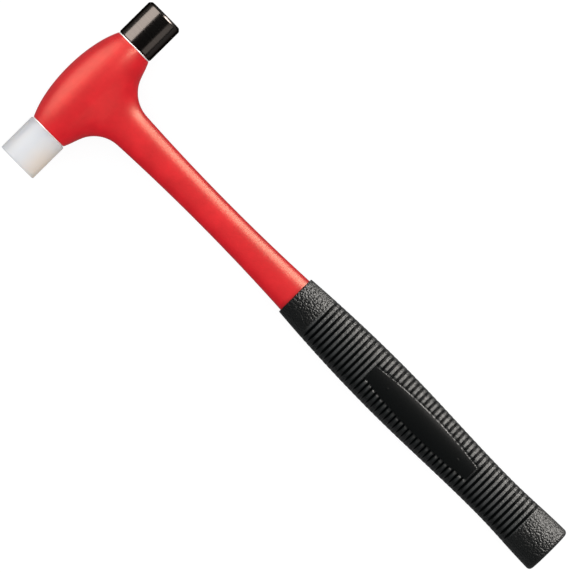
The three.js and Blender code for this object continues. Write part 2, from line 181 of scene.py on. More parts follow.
# The hammer lies on its side, on the middle of its head and the edge of its butt, so its handle
# slopes down a little. Each piece is modelled on the hammer's own axes, from the point where the
# line through both faces crosses the handle, and is then laid down on the table.
steel_turn = next(j for j in frame["joints"] if j["name"] == "steel_face_turn")
butt_mount = next(m for m in frame["record"]["mounts"] if m["name"] == "grip_butt")
crossing = Vector((steel_turn["pos_m"][0], 0, steel_turn["pos_m"][2]))
slope = math.atan2(-butt_mount["axis"][2], butt_mount["axis"][0])
lying = Matrix.Translation(crossing) @ Matrix.Rotation(slope, 4, "Y")


def lay_down(piece):
    """Turns a piece from the hammer's axes to where it lies, with its place in its mesh."""
    piece.matrix_world = lying @ piece.matrix_world
    only(piece)
    bpy.ops.object.transform_apply(location=True, rotation=True, scale=True)


half_core = [
    (0, TAP_BOTTOM - TAP_POINT),
    (TAP_DRILL, TAP_BOTTOM),
    (TAP_DRILL, RIM_AT - (TAP_MOUTH - TAP_DRILL)),
    (TAP_MOUTH, RIM_AT),
    (CORE_RADIUS - CORE_EDGE, RIM_AT),
    (CORE_RADIUS, RIM_AT - CORE_EDGE),
]
tapped_core = turn("tapped_core", half_core + [(r, -y) for r, y in reversed(half_core)])
for end in (1, -1):
    tap = screw_thread("tap", -STUD_REACH - THREAD_PITCH, THREAD_GAP)
    seat(tap, end)
    carve(tapped_core, tap)
rod_drill = drill(ROD_RADIUS + HOLE_GAP, 2 * CORE_RADIUS, (1, 0, 0), (-CORE_RADIUS / 2, 0, 0))
carve(tapped_core, rod_drill)
pin_drill = drill(PIN_RADIUS + HOLE_GAP, 3 * CORE_RADIUS, (0, 0, 1), (0, 0, -1.5 * CORE_RADIUS))
carve(tapped_core, pin_drill)
lay_down(tapped_core)


def new_finish(name):
    """A material with a plain principled shader, and that shader's node."""
    finish = bpy.data.materials.new(name)
    finish.use_nodes = True
    return finish, finish.node_tree.nodes["Principled BSDF"]


def add_node(finish, kind, values=(), **settings):
    """Adds a node with some of its settings and input values."""
    node = finish.node_tree.nodes.new(kind)
    for name, value in settings.items():
        setattr(node, name, value)
    for name, value in dict(values).items():
        node.inputs[name].default_value = value
    return node


def wire(finish, source, target, to, out=0):
    """Links one node's output to another node's input."""
    finish.node_tree.links.new(source.outputs[out], target.inputs[to])


def shades(finish, source, first, last, low=0.0, high=1.0, out=0):
    """A ramp from one colour to another as a value goes from low to high."""
    ramp = add_node(finish, "ShaderNodeValToRGB")
    for stop, place, colour in zip(ramp.color_ramp.elements, (low, high), (first, last)):
        stop.position = place
        stop.color = (*colour, 1)
    wire(finish, source, ramp, "Fac", out)
    return ramp


def spread(finish, source, first, last):
    """A value from one number to another as a value goes from 0 to 1."""
    node = add_node(finish, "ShaderNodeMapRange", {"To Min": first, "To Max": last})
    wire(finish, source, node, "Value")
    return node


def relief(finish, shader, source, height):
    """Raises the surface's shading by a value from 0 to 1, that stands for a height."""
    node = add_node(finish, "ShaderNodeBump", {"Strength": 1.0, "Distance": height})
    wire(finish, source, node, "Height")
    wire(finish, node, shader, "Normal")
    return node


def turning_lines(finish, lines_per_metre):
    """Uneven fine lines round the face axis, as a lathe tool leaves them."""
    place = add_node(finish, "ShaderNodeTexCoord")
    centred = add_node(finish, "ShaderNodeMapping", {"Location": -crossing})
    wire(finish, place, centred, "Vector", "Object")
    parts = add_node(finish, "ShaderNodeSeparateXYZ")
    wire(finish, centred, parts, "Vector")
    across = add_node(finish, "ShaderNodeCombineXYZ")
    wire(finish, parts, across, "X", "X")
    wire(finish, parts, across, "Z", "Z")
    radius = add_node(finish, "ShaderNodeVectorMath", operation="LENGTH")
    wire(finish, across, radius, 0)
    along = add_node(finish, "ShaderNodeMath", operation="ADD")
    wire(finish, radius, along, 0, "Value")
    wire(finish, parts, along, 1, "Y")
    lines = add_node(
        finish,
        "ShaderNodeTexNoise",
        {"Scale": lines_per_metre, "Detail": 3.0, "Roughness": 0.6},
        noise_dimensions="1D",
    )
    wire(finish, along, lines, "W")
    return lines


bright_steel, steel_shader = new_finish("bright_steel")
steel_shader.inputs["Metallic"].default_value = 1.0
lathe_lines = turning_lines(bright_steel, CORE_LINES)
wire(bright_steel, shades(bright_steel, lathe_lines, *CORE_SHADES), steel_shader, "Base Color")
wire(bright_steel, spread(bright_steel, lathe_lines, *CORE_ROUGHNESS), steel_shader, "Roughness")
relief(bright_steel, steel_shader, lathe_lines, CORE_RELIEF)
tapped_core.data.materials.append(bright_steel)
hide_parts("head_core")
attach(tapped_core, "hammer")

# Handle rod and its pin: a drawn steel rod from the core down into the tang, locked by a slotted
# spring pin. Both are hidden in the plastic and keep their solid shapes, with a drawn steel finish.
DRAWN_STRETCH, DRAWN_RELIEF = 0.03, 0.02 * MM
DRAWN_SHADES = (0.42, 0.43, 0.45), (0.6, 0.61, 0.63)
DRAWN_ROUGHNESS = 0.3, 0.5

drawn_steel, drawn_shader = new_finish("drawn_steel")
drawn_shader.inputs["Metallic"].default_value = 1.0
rod_place = add_node(drawn_steel, "ShaderNodeTexCoord")
rod_stretch = add_node(drawn_steel, "ShaderNodeMapping", {"Scale": (DRAWN_STRETCH, 1, 1)})
wire(drawn_steel, rod_place, rod_stretch, "Vector", "Object")
drawn_lines = add_node(drawn_steel, "ShaderNodeTexNoise", {"Scale": 2500.0, "Detail": 2.0})
wire(drawn_steel, rod_stretch, drawn_lines, "Vector")
wire(drawn_steel, shades(drawn_steel, drawn_lines, *DRAWN_SHADES), drawn_shader, "Base Color")
wire(drawn_steel, spread(drawn_steel, drawn_lines, *DRAWN_ROUGHNESS), drawn_shader, "Roughness")
relief(drawn_steel, drawn_shader, drawn_lines, DRAWN_RELIEF)
for name in ("handle_rod", "core_pin"):
    frame["nodes"][name].data.materials.clear()
    frame["nodes"][name].data.materials.append(drawn_steel)

# Jacket: the red head, neck, shaft and tang, one injection moulding in satin plastic round the
# core and the rod. The head is a barrel with flat rims, and a round neck runs into an oval shaft.
HEAD_RADIUS = 15.7 * MM
RIM_RADIUS = 10.2 * MM
RIM_ROUND = 0.45 * MM
NECK_RADIUS = 17 * MM
WIDTH_EASE, THICKNESS_EASE, EASE_STEPS = 1 * MM, 5 * MM, 12
SHAFT_LENGTH = 139.9 * MM
WAIST_AT = 85 * MM
WAIST_WIDTH, WAIST_THICKNESS = 16.9 * MM, 12.2 * MM
MOUTH_WIDTH, MOUTH_THICKNESS = 19.7 * MM, 13.4 * MM
GRIP_LENGTH = 173.9 * MM
GRIP_END_WALL = 6 * MM
ROD_COVER = 40 * MM
JACKET_SIDES = 96
HEAD_RINGS, NECK_RINGS, SHAFT_RINGS, RIM_STEPS = 56, 34, 22, 4
NECK_HALVINGS = 50
SQUARE_ON = 0.999
RED_SHADES, RED_SPAN = ((0.61, 0.007, 0.016), (0.75, 0.01, 0.021)), (0.3, 0.7)
RED_ROUGHNESS = 0.33, 0.44
RED_SPECULAR, RED_TINT = 0.4, (1, 0.78, 0.55, 1)
RED_RELIEF = 0.05 * MM
barrel_half = RIM_AT / math.sqrt(1 - (RIM_RADIUS / HEAD_RADIUS) ** 2)
tang_end = SHAFT_LENGTH + GRIP_LENGTH - GRIP_END_WALL
rod_end = tang_end - ROD_COVER


def smooth(value, start, end):
    """An eased step from 0 at start to 1 at end."""
    share = min(max((value - start) / (end - start), 0), 1)
    return share * share * (3 - 2 * share)


def moulding_outline(head_half, waist, mouth, ease):
    """Half the moulding's width or thickness along the handle, and where its neck starts and ends.

    The neck is an arc that touches the head and the shaft. It is found by halving, and is then
    evened out over a short reach, so that light runs smoothly from the head into the neck.
    """
    reach = SHAFT_LENGTH - WAIST_AT

    def shaft(x):
        return (waist + (mouth - waist) * ((min(x, SHAFT_LENGTH) - WAIST_AT) / reach) ** 2) / 2

    def lean(x):
        return (mouth - waist) * (x - WAIST_AT) / reach**2

    def neck_centre(angle):
        normal = Vector((math.cos(angle) / HEAD_RADIUS, math.sin(angle) / head_half)).normalized()
        return Vector((HEAD_RADIUS * math.cos(angle), head_half * math.sin(angle))) + normal * NECK_RADIUS

    low, high = 0.0, math.pi / 2
    for _ in range(NECK_HALVINGS):
        angle = (low + high) / 2
        centre = neck_centre(angle)
        if (centre.y - shaft(centre.x)) / math.hypot(1, lean(centre.x)) < NECK_RADIUS:
            low = angle
        else:
            high = angle
    centre = neck_centre(low)
    start = HEAD_RADIUS * math.cos(low)
    end = centre.x + NECK_RADIUS * lean(centre.x) / math.hypot(1, lean(centre.x))

    def outline(x):
        if x < start:
            return head_half * math.sqrt(1 - (x / HEAD_RADIUS) ** 2)
        if x < end:
            return centre.y - math.sqrt(NECK_RADIUS**2 - (x - centre.x) ** 2)
        return shaft(x)

    def half(x):
        ease_here = ease * smooth(x, start - 2 * ease, start) * smooth(x, WAIST_AT, end)
        places = [x + ease_here * i / EASE_STEPS for i in range(-EASE_STEPS, EASE_STEPS + 1)]
        return sum(outline(place) for place in places) / len(places)

    return half, start, end


half_width, width_start, width_end = moulding_outline(barrel_half, WAIST_WIDTH, MOUTH_WIDTH, WIDTH_EASE)
half_thickness, thick_start, thick_end = moulding_outline(
    HEAD_RADIUS, WAIST_THICKNESS, MOUTH_THICKNESS, THICKNESS_EASE
)
neck_start, neck_end = min(width_start, thick_start), max(width_end, thick_end)
head_sweep = math.acos(-neck_start / HEAD_RADIUS)
stations = [-HEAD_RADIUS * math.cos(head_sweep * i / HEAD_RINGS) for i in range(1, HEAD_RINGS + 1)]
for i in range(1, NECK_RINGS + 1):
    share = 1 - math.cos(math.pi / 2 * i / NECK_RINGS)
    stations.append(neck_start + (neck_end - neck_start) * share)
stations += [neck_end + (SHAFT_LENGTH - neck_end) * i / SHAFT_RINGS for i in range(1, SHAFT_RINGS + 1)]
stations.append(tang_end)

bpy.ops.object.select_all(action="DESELECT")
bpy.ops.mesh.primitive_circle_add(
    vertices=JACKET_SIDES,
    radius=half_thickness(stations[0]),
    fill_type="NGON",
    location=(stations[0], 0, 0),
    rotation=(0, math.pi / 2, 0),
)
jacket = bpy.context.object
jacket.name = "jacket"
bpy.ops.object.mode_set(mode="EDIT")
bpy.ops.mesh.select_all(action="SELECT")
first_size = (1, half_width(stations[0]) / half_thickness(stations[0]), 1)
bpy.ops.transform.resize(value=first_size, center_override=(stations[0], 0, 0))
for here, there in zip(stations, stations[1:]):
    bpy.ops.mesh.extrude_region_move(TRANSFORM_OT_translate={"value": (there - here, 0, 0)})
    grown = (1, half_width(there) / half_width(here), half_thickness(there) / half_thickness(here))
    bpy.ops.transform.resize(value=grown, center_override=(there, 0, 0))
bpy.ops.mesh.select_all(action="DESELECT")
bpy.ops.mesh.select_non_manifold()
bpy.ops.mesh.edge_face_add()
bpy.ops.object.mode_set(mode="OBJECT")
bpy.ops.object.transform_apply(location=True, rotation=True, scale=True)


def pick_faces(piece, wanted):
    """Selects the faces of a piece that a test picks by their middle and normal."""
    bpy.ops.object.mode_set(mode="EDIT")
    bpy.ops.mesh.select_mode(type="FACE")
    bpy.ops.mesh.select_all(action="DESELECT")
    bpy.ops.object.mode_set(mode="OBJECT")
    for face in piece.data.polygons:
        face.select = wanted(face.center, face.normal)
    bpy.ops.object.mode_set(mode="EDIT")


for end in (1, -1):
    flat = end * (RIM_AT - RIM_ROUND)
    bpy.ops.object.mode_set(mode="EDIT")
    bpy.ops.mesh.select_all(action="SELECT")
    bpy.ops.mesh.bisect(plane_co=(0, flat, 0), plane_no=(0, end, 0), use_fill=True, clear_outer=True)
    bpy.ops.object.mode_set(mode="OBJECT")

    def on_rim(middle, normal):
        return normal.y * end > SQUARE_ON and abs(middle.y - flat) < HOLE_GAP

    pick_faces(jacket, on_rim)
    radius, height = RIM_RADIUS, 0.0
    for i in range(1, RIM_STEPS + 1):
        angle = math.pi / 2 * i / RIM_STEPS
        next_radius = RIM_RADIUS - RIM_ROUND * (1 - math.cos(angle))
        next_height = RIM_ROUND * math.sin(angle)
        rise = {"value": (0, end * (next_height - height), 0)}
        bpy.ops.mesh.extrude_region_move(TRANSFORM_OT_translate=rise)
        shrink = next_radius / radius
        rim_centre = (0, flat + end * next_height, 0)
        bpy.ops.transform.resize(value=(shrink, 1, shrink), center_override=rim_centre)
        radius, height = next_radius, next_height
    bpy.ops.object.mode_set(mode="OBJECT")

bpy.ops.object.mode_set(mode="EDIT")
bpy.ops.mesh.select_all(action="SELECT")
bpy.ops.mesh.normals_make_consistent(inside=False)
bpy.ops.object.mode_set(mode="OBJECT")
carve(jacket, drill(CORE_RADIUS + HOLE_GAP, 4 * RIM_AT, (0, 1, 0), (0, -2 * RIM_AT, 0)))
carve(jacket, drill(ROD_RADIUS + HOLE_GAP, rod_end + HOLE_GAP, (1, 0, 0)))
lay_down(jacket)

red_plastic, red_shader = new_finish("red_plastic")
red_place = add_node(red_plastic, "ShaderNodeTexCoord")
red_cloud = add_node(red_plastic, "ShaderNodeTexNoise", {"Scale": 90.0, "Detail": 4.0, "Roughness": 0.6})
wire(red_plastic, red_place, red_cloud, "Vector", "Object")
red_skin = add_node(red_plastic, "ShaderNodeTexNoise", {"Scale": 900.0, "Detail": 3.0, "Roughness": 0.55})
wire(red_plastic, red_place, red_skin, "Vector", "Object")
wire(red_plastic, shades(red_plastic, red_cloud, *RED_SHADES, *RED_SPAN), red_shader, "Base Color")
wire(red_plastic, spread(red_plastic, red_skin, *RED_ROUGHNESS), red_shader, "Roughness")
red_shader.inputs["Specular IOR Level"].default_value = RED_SPECULAR
red_shader.inputs["Specular Tint"].default_value = RED_TINT
relief(red_plastic, red_shader, red_skin, RED_RELIEF)
jacket.data.materials.append(red_plastic)
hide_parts("body_jacket")
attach(jacket, "hammer")

# Grip: a black vinyl sleeve, dip moulded and pushed over the tang. Ribs run round it between two
# plain bands, the butt is closed, and a smooth panel is let into both flat sides. The skin is
# grained, and the tops of the ribs are duller than the grooves from wear, and paler from wear and
# a painted sheen, most on the two flat sides.
MOUTH_WALL, SWELL_WALL, WAIST_WALL, BUTT_WALL = 0.85 * MM, 3.35 * MM, 1.65 * MM, 2.85 * MM
FIT_GAP = 0.3 * MM
SWELL_FROM_MOUTH = 62.7 * MM
WAIST_FROM_BUTT = 38 * MM
LIP_ROUND = 0.35 * MM
BUTT_ROUND = 2 * MM
RIB_PITCH = 2.92 * MM
RIB_COUNT = 48
GROOVE_HALF_WIDTH = 0.72 * MM
GROOVE_DEPTH, GROOVE_EDGE_DEPTH = 1.1 * MM, 0.1 * MM
RIB_CROWN = 0.06 * MM
LAND_EDGE = 0.12 * MM
RIB_GRAIN, BAND_WEAR = 0.6, 0.1
GROOVE_FULL_AT, WORN_AND_SHEEN_FROM = 0.8, 0.6
FIRST_GROOVE = 16.9 * MM
PANEL_MIDDLE = 86.4 * MM
PANEL_LENGTH, PANEL_WIDTH, PANEL_END_WIDTH = 68.5 * MM, 12.8 * MM, 7.8 * MM
PANEL_DEPTH, PANEL_SAG = 0.45 * MM, 0.35 * MM
RIB_END_GAP, RIB_END_SLOPE = 0.4 * MM, 1.1 * MM
PIP_PLACES = (63.1 * MM, 111.3 * MM)
PIP_RADIUS, PIP_HEIGHT = 0.5 * MM, 0.2 * MM
# Rows in one pitch, from the middle of a rib to that of the next, with the groove halfway
RIB_ROWS = (0, 0.13, 0.21, 0.253, 0.37, 0.5, 0.63, 0.747, 0.79, 0.87)
PLAIN_ROWS, LIP_ROWS, BUTT_ROWS = 20, 4, 8
# Columns counted from the grip's edge to the middle of its flat side, each with its distance from
# that middle as a share of the half width; they are closest where the panel's edges run
COLUMN_STOPS = ((12, 0.6), (32, 0.27), (37, 0.08), (42, 0))
QUARTER_COLUMNS = COLUMN_STOPS[-1][0]
RIB_SHARP = math.radians(50)
# The paler vinyl colour is wear together with a painted sheen on the rib tops.
VINYL_WEAR_AND_SHEEN_SHADES = (0.0026, 0.0034, 0.0034), (0.036, 0.0385, 0.038)
VINYL_ROUGHNESS, WEAR_EASE = (0.27, 0.66), 0.23
VINYL_SPECULAR, GRAIN_RELIEF = 0.5, 0.5 * MM


def grip_wall(along):
    """The sleeve's wall, which swells in the palm and flares at the butt."""
    waist = GRIP_LENGTH - WAIST_FROM_BUTT
    if along < SWELL_FROM_MOUTH:
        return SWELL_WALL - (SWELL_WALL - MOUTH_WALL) * (1 - along / SWELL_FROM_MOUTH) ** 2
    if along < waist:
        return SWELL_WALL + (WAIST_WALL - SWELL_WALL) * smooth(along, SWELL_FROM_MOUTH, waist)
    return WAIST_WALL + (BUTT_WALL - WAIST_WALL) * smooth(along, waist, GRIP_LENGTH)


def grip_rows():
    """Places along the grip, each with how far its rounded ends sink there."""
    rows = []
    for i in range(LIP_ROWS):
        angle = math.pi / 2 * i / LIP_ROWS
        rows.append((LIP_ROUND * (1 - math.cos(angle)), LIP_ROUND * (1 - math.sin(angle))))
    ribs_start = FIRST_GROOVE - RIB_PITCH / 2
    ribs_end = ribs_start + RIB_COUNT * RIB_PITCH
    for i in range(PLAIN_ROWS):
        rows.append((LIP_ROUND + (ribs_start - LIP_ROUND) * i / PLAIN_ROWS, 0))
    for i in range(RIB_COUNT):
        rows += [(ribs_start + RIB_PITCH * (i + share), 0) for share in RIB_ROWS]
    for i in range(PLAIN_ROWS):
        rows.append((ribs_end + (GRIP_LENGTH - BUTT_ROUND - ribs_end) * i / PLAIN_ROWS, 0))
    for i in range(BUTT_ROWS + 1):
        angle = math.pi / 2 * i / BUTT_ROWS
        rows.append((GRIP_LENGTH - BUTT_ROUND * (1 - math.sin(angle)), BUTT_ROUND * (1 - math.cos(angle))))
    return rows


def quarter_angle(step):
    """Angle from the grip's edge towards its flat side, in close steps where a panel's edge runs."""
    flank_end, flank_across = COLUMN_STOPS[0]
    if step <= flank_end:
        return math.acos(flank_across) * step / flank_end
    for (start, outer), (end, inner) in zip(COLUMN_STOPS, COLUMN_STOPS[1:]):
        if step <= end:
            return math.acos(outer + (inner - outer) * (step - start) / (end - start))


def column_angle(column):
    """Angle round the whole grip, each quarter the mirror image of the one before."""
    quarter, step = divmod(column, QUARTER_COLUMNS)
    if quarter % 2:
        return math.pi * (quarter + 1) / 2 - quarter_angle(QUARTER_COLUMNS - step)
    return math.pi * quarter / 2 + quarter_angle(step)


def off_panel(along, across):
    """Distance outside the panel, which has two long arcs for sides and two blunt ends."""
    half_length, rise = PANEL_LENGTH / 2, (PANEL_WIDTH - PANEL_END_WIDTH) / 2
    radius = (half_length**2 + rise**2) / (2 * rise)
    from_middle = abs(along - PANEL_MIDDLE)
    half = PANEL_WIDTH / 2 - radius + math.sqrt(radius**2 - min(from_middle, 2 * half_length) ** 2)
    return max(from_middle - half_length, abs(across) - half)


def in_ribs(along):
    """Whether a place along the grip lies in its ribbed length."""
    return -0.5 < (along - FIRST_GROOVE) / RIB_PITCH < RIB_COUNT - 0.5


def from_groove(along):
    """Distance along the grip to the middle of the nearest groove."""
    return abs((along - FIRST_GROOVE + RIB_PITCH / 2) % RIB_PITCH - RIB_PITCH / 2)


def grip_depth(along, across, flatness):
    """How far the surface sinks below its outer form, with grooves that fade out to both edges."""
    depth = 0.0
    if in_ribs(along):
        deepest = GROOVE_EDGE_DEPTH + (GROOVE_DEPTH - GROOVE_EDGE_DEPTH) * flatness
        crown = RIB_CROWN * (1 - 2 * from_groove(along) / RIB_PITCH) ** 2 * flatness
        depth = crown + (deepest - crown) * max(0, 1 - from_groove(along) / GROOVE_HALF_WIDTH)
    outside = off_panel(along, across)
    panel = PANEL_DEPTH + PANEL_SAG * (1 - (2 * across / PANEL_WIDTH) ** 2)
    depth *= min(max(outside / RIB_END_GAP, 0), 1)
    depth = max(depth, panel * smooth(outside, RIB_END_GAP + RIB_END_SLOPE, RIB_END_GAP))
    for place in PIP_PLACES:
        reach = math.hypot(along - place, across) / PIP_RADIUS
        if reach < 1:
            depth -= PIP_HEIGHT * math.sqrt(1 - reach**2)
    return depth


def grip_skin(along, across, height):
    """How grained the surface is, and how much wear and painted sheen it has, both least in the grooves and on the
    panel.
    """
    if not in_ribs(along):
        return 1, BAND_WEAR
    outside = off_panel(along, across)
    land = smooth(from_groove(along), GROOVE_HALF_WIDTH, GROOVE_HALF_WIDTH + LAND_EDGE)
    rib = land * smooth(outside, 0, RIB_END_GAP)
    # Rib tops on the flat sides get more: wear, and a painted sheen where light falls on them.
    top = smooth(height, WORN_AND_SHEEN_FROM, 1) * smooth(outside, RIB_END_GAP, RIB_END_GAP + RIB_END_SLOPE)
    return rib * RIB_GRAIN, rib * (BAND_WEAR + (1 - BAND_WEAR) * top)


rows = grip_rows()
columns = 4 * QUARTER_COLUMNS
bpy.ops.object.select_all(action="DESELECT")
bpy.ops.mesh.primitive_grid_add(x_subdivisions=len(rows) - 1, y_subdivisions=columns, size=1)
grip = bpy.context.object
grip.name = "vinyl_grip"
for name in ("grain", "wear_and_sheen"):
    grip.data.attributes.new(name, "FLOAT", "POINT")
grain, wear_and_sheen = (grip.data.attributes[name].data for name in ("grain", "wear_and_sheen"))
for vertex in grip.data.vertices:
    along, sunk = rows[round((vertex.co.x + 0.5) * (len(rows) - 1))]
    angle = column_angle(round((vertex.co.y + 0.5) * columns) % columns)
    outer_width = MOUTH_WIDTH / 2 + FIT_GAP + grip_wall(along)
    outer_thickness = MOUTH_THICKNESS / 2 + FIT_GAP + grip_wall(along)
    across = outer_width * math.cos(angle)
    height = abs(math.sin(angle))
    sunk += grip_depth(along, across, smooth(height, 0, GROOVE_FULL_AT))
    grain[vertex.index].value, wear_and_sheen[vertex.index].value = grip_skin(along, across, height)
    vertex.co = (
        SHAFT_LENGTH + along,
        (outer_width - sunk) * math.cos(angle),
        (outer_thickness - sunk) * math.sin(angle),
    )
bpy.ops.object.mode_set(mode="EDIT")
bpy.ops.mesh.select_all(action="SELECT")
bpy.ops.mesh.remove_doubles(threshold=WELD)


def pick_vertices(piece, wanted):
    """Selects the vertices of a piece that a test picks by their place."""
    bpy.ops.object.mode_set(mode="EDIT")
    bpy.ops.mesh.select_mode(type="VERT")
    bpy.ops.mesh.select_all(action="DESELECT")
    bpy.ops.object.mode_set(mode="OBJECT")
    for vertex in piece.data.vertices:
        vertex.select = wanted(vertex.co)
    bpy.ops.object.mode_set(mode="EDIT")


pick_vertices(grip, lambda place: place.x > SHAFT_LENGTH + GRIP_LENGTH - HOLE_GAP)
bpy.ops.mesh.edge_face_add()
pick_vertices(grip, lambda place: place.x < SHAFT_LENGTH + HOLE_GAP)
lip_width = MOUTH_WIDTH / 2 + FIT_GAP + MOUTH_WALL - LIP_ROUND
lip_thickness = MOUTH_THICKNESS / 2 + FIT_GAP + MOUTH_WALL - LIP_ROUND
bore = (1, (MOUTH_WIDTH / 2 + HOLE_GAP) / lip_width, (MOUTH_THICKNESS / 2 + HOLE_GAP) / lip_thickness)
bpy.ops.mesh.extrude_region_move(TRANSFORM_OT_translate={"value": (0, 0, 0)})
bpy.ops.transform.resize(value=bore, center_override=(SHAFT_LENGTH, 0, 0))
bore_length = tang_end + HOLE_GAP - SHAFT_LENGTH
bpy.ops.mesh.extrude_region_move(TRANSFORM_OT_translate={"value": (bore_length, 0, 0)})
bpy.ops.mesh.edge_face_add()
bpy.ops.mesh.select_all(action="SELECT")
bpy.ops.mesh.normals_make_consistent(inside=False)
bpy.ops.object.mode_set(mode="OBJECT")
bpy.ops.object.shade_smooth_by_angle(angle=RIB_SHARP)
lay_down(grip)

black_vinyl, vinyl_shader = new_finish("black_vinyl")
vinyl_place = add_node(black_vinyl, "ShaderNodeTexCoord")
pebbles = add_node(
    black_vinyl,
    "ShaderNodeTexVoronoi",
    {"Scale": 1000.0, "Smoothness": 0.35, "Randomness": 1.0},
    feature="SMOOTH_F1",
)
wire(black_vinyl, vinyl_place, pebbles, "Vector", "Object")
dome = add_node(black_vinyl, "ShaderNodeMath", operation="MULTIPLY")
wire(black_vinyl, pebbles, dome, 0, "Distance")
wire(black_vinyl, pebbles, dome, 1, "Distance")
grain_share = add_node(black_vinyl, "ShaderNodeAttribute", attribute_name="grain")
grain_height = add_node(black_vinyl, "ShaderNodeMath", operation="MULTIPLY")
wire(black_vinyl, dome, grain_height, 0)
wire(black_vinyl, grain_share, grain_height, 1, "Fac")
wear_and_sheen_share = add_node(black_vinyl, "ShaderNodeAttribute", attribute_name="wear_and_sheen")
# Paler where worn, and paler still on the flat sides' rib tops as a painted sheen.
vinyl_shade = shades(black_vinyl, wear_and_sheen_share, *VINYL_WEAR_AND_SHEEN_SHADES, out="Fac")
wire(black_vinyl, vinyl_shade, vinyl_shader, "Base Color")
wear_eased = add_node(black_vinyl, "ShaderNodeMath", {1: WEAR_EASE}, operation="POWER")
wire(black_vinyl, wear_and_sheen_share, wear_eased, 0, "Fac")
wire(black_vinyl, spread(black_vinyl, wear_eased, *VINYL_ROUGHNESS), vinyl_shader, "Roughness")
pebble_relief = relief(black_vinyl, vinyl_shader, grain_height, GRAIN_RELIEF)
pebble_relief.invert = True
vinyl_shader.inputs["Specular IOR Level"].default_value = VINYL_SPECULAR
grip.data.materials.append(black_vinyl)
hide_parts("grip")
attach(grip, "hammer")

# Washers: a thin zinc-plated steel ring between each striking face and the rim of the head, which
# shows as a bright line. Each is stamped from sheet, and its face clamps it and takes it along.
WASHER_RADIUS = 9.95 * MM
WASHER_THICKNESS = 0.6 * MM
WASHER_EDGE = 0.12 * MM
WASHER_ENDS = ((1, "steel_end_washer", "steel_washer"), (-1, "nylon_end_washer", "nylon_washer"))
ZINC_SHADES = (0.8, 0.8, 0.8), (0.92, 0.92, 0.91)
ZINC_ROUGHNESS, ZINC_METAL = (0.4, 0.55), 0.35

washer_zinc, zinc_shader = new_finish("washer_zinc")
zinc_place = add_node(washer_zinc, "ShaderNodeTexCoord")
zinc_cloud = add_node(washer_zinc, "ShaderNodeTexNoise", {"Scale": 700.0, "Detail": 2.0})
wire(washer_zinc, zinc_place, zinc_cloud, "Vector", "Object")
wire(washer_zinc, shades(washer_zinc, zinc_cloud, *ZINC_SHADES), zinc_shader, "Base Color")
wire(washer_zinc, spread(washer_zinc, zinc_cloud, *ZINC_ROUGHNESS), zinc_shader, "Roughness")
zinc_shader.inputs["Metallic"].default_value = ZINC_METAL

end_washers = []
for end, name, body in WASHER_ENDS:
    washer = turn(
        name,
        [
            (TAP_MOUTH, 0),
            (WASHER_RADIUS, 0),
            (WASHER_RADIUS, WASHER_THICKNESS),
            (TAP_MOUTH, WASHER_THICKNESS),
            (TAP_MOUTH, 0),
        ],
        WASHER_EDGE,
    )
    seat(washer, end)
    lay_down(washer)
    washer.data.materials.append(washer_zinc)
    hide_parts("steel_face_washer" if end > 0 else "nylon_face_washer")
    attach(washer, body)
    end_washers.append(washer)

# Steel face: the hard striking face, turned in one piece with its threaded stud, blacked and
# polished. Its striking edge is chamfered, and it screws into the core against its washer.
STEEL_RADIUS = 10.25 * MM
STEEL_LENGTH = 21.4 * MM
STEEL_CHAMFER, STEEL_BACK_CHAMFER = 1.3 * MM, 0.5 * MM
STEEL_EDGE = 0.35 * MM
STUD_CHAMFER = 1 * MM
POLISH_LINES, POLISH_RELIEF = 1500, 0.01 * MM
BLACK_SHADES = (0.072, 0.064, 0.06), (0.104, 0.092, 0.086)
BLACK_ROUGHNESS, BLACK_EDGE_TINT = (0.15, 0.23), (0, 0, 0, 1)


def stud(name, shoulder):
    """The threaded end of a stud, which points into the core from a shoulder outside the rim."""
    clear = THREAD_RADIUS + HOLE_GAP
    blank = turn(
        "stud_blank",
        [
            (0, -STUD_REACH),
            (clear - STUD_CHAMFER, -STUD_REACH),
            (clear, STUD_CHAMFER - STUD_REACH),
            (clear, shoulder),
            (0, shoulder),
        ],
    )
    thread = screw_thread(name, -STUD_REACH - THREAD_PITCH)
    carve(thread, blank, "INTERSECT")
    return thread


steel_front = WASHER_THICKNESS + STEEL_LENGTH
steel_face = turn(
    "steel_striking_face",
    [
        (0, WASHER_THICKNESS),
        (STEEL_RADIUS - STEEL_BACK_CHAMFER, WASHER_THICKNESS),
        (STEEL_RADIUS, WASHER_THICKNESS + STEEL_BACK_CHAMFER),
        (STEEL_RADIUS, steel_front - STEEL_CHAMFER),
        (STEEL_RADIUS - STEEL_CHAMFER, steel_front),
        (0, steel_front),
    ],
    STEEL_EDGE,
)
carve(steel_face, stud("steel_stud", WASHER_THICKNESS + STEEL_BACK_CHAMFER), "UNION")
seat(steel_face, 1)
lay_down(steel_face)

black_steel, black_shader = new_finish("black_steel")
black_shader.inputs["Metallic"].default_value = 1.0
black_shader.inputs["Specular Tint"].default_value = BLACK_EDGE_TINT
polish_lines = turning_lines(black_steel, POLISH_LINES)
wire(black_steel, shades(black_steel, polish_lines, *BLACK_SHADES), black_shader, "Base Color")
wire(black_steel, spread(black_steel, polish_lines, *BLACK_ROUGHNESS), black_shader, "Roughness")
relief(black_steel, black_shader, polish_lines, POLISH_RELIEF)
steel_face.data.materials.append(black_steel)
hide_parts("steel_face")
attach(steel_face, "steel_face")

# Nylon face's stud: a bright steel stud with the same thread as the steel face's. Its outer end is
# turned with two grooves, which anchor it in the nylon that is moulded round it.
MOULDED_LENGTH = 11 * MM
NECK_RELIEF = 0.1 * MM
ANCHOR_COUNT, ANCHOR_WIDTH, ANCHOR_DEPTH = 2, 2 * MM, 1 * MM

